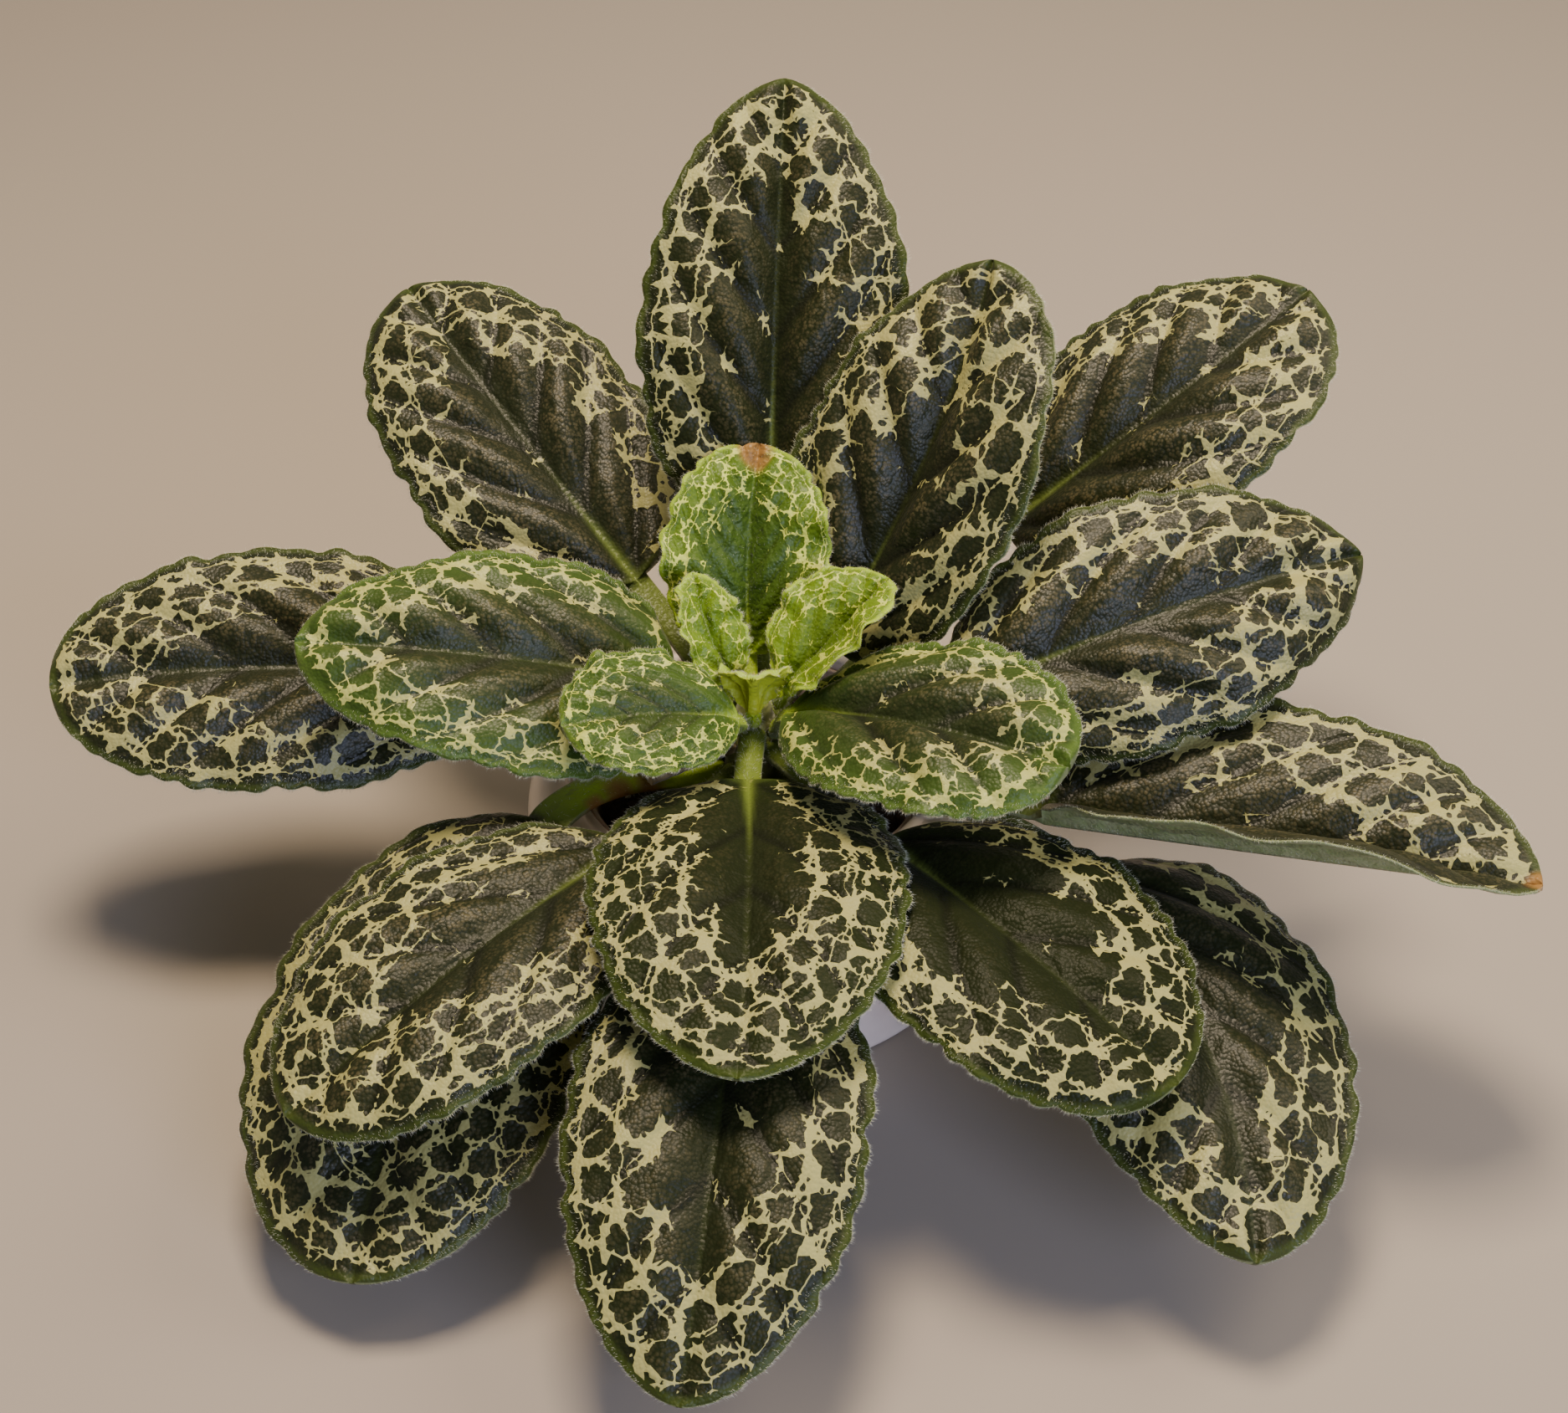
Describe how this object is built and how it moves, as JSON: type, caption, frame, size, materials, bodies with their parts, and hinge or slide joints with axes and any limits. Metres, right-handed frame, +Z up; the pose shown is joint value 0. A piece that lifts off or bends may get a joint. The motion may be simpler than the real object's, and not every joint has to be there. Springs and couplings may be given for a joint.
{
  "type": "potted pretty turtle primulina",
  "caption": "Potted gesneriad rosette of quilted, scalloped, netted leaves on a short stem, in potting mix in a liner inside a squat round ceramic pot.",
  "frame": {"origin": "middle of the ceramic pot's flat base, on the surface it stands on", "axes": "+Z up, -Y the side that the rosette leans out over and the picture looks from, +X to the right of that view"},
  "size_m": [0.2777, 0.2255, 0.1444],
  "materials": {
    "pot_glaze": "satin cream glaze with a pinkish tint",
    "grow_pot_plastic": "thin moulded plastic, matte pinkish beige",
    "potting_mix": "loose dark peaty crumbs with pale grains of perlite",
    "green_stem": "matte and downy",
    "bud": "matte and downy, yellow-green",
    "dry_stalk": "dry khaki skin",
    "mature_leaf": "quilted dark green with a cream net, pebbled and softly glossy, downy edge",
    "young_leaf": "quilted mid green with a pale lime net, downy"
  },
  "bodies": {
    "root": {"pot": "pot_glaze", "grow_pot": "grow_pot_plastic", "potting_mix": "potting_mix", "stem": "green_stem", "bud": "bud", "cut_stalk": "dry_stalk", "leaf_back": "mature_leaf", "leaf_far_left": "mature_leaf", "leaf_front_left_low": "mature_leaf", "leaf_front_low": "mature_leaf", "leaf_front_right_low": "mature_leaf", "leaf_far_right": "mature_leaf", "leaf_back_left": "mature_leaf", "leaf_front_left": "mature_leaf", "leaf_right_folded": "mature_leaf", "leaf_right": "mature_leaf", "leaf_back_right": "mature_leaf", "leaf_left": "mature_leaf", "leaf_front_right": "mature_leaf", "leaf_front": "mature_leaf", "leaf_right_inner": "mature_leaf", "leaf_left_inner": "young_leaf", "leaf_centre_back": "young_leaf", "leaf_centre_left": "young_leaf", "leaf_centre_right": "young_leaf", "leaf_centre_front": "young_leaf"}
  },
  "joints": []
}
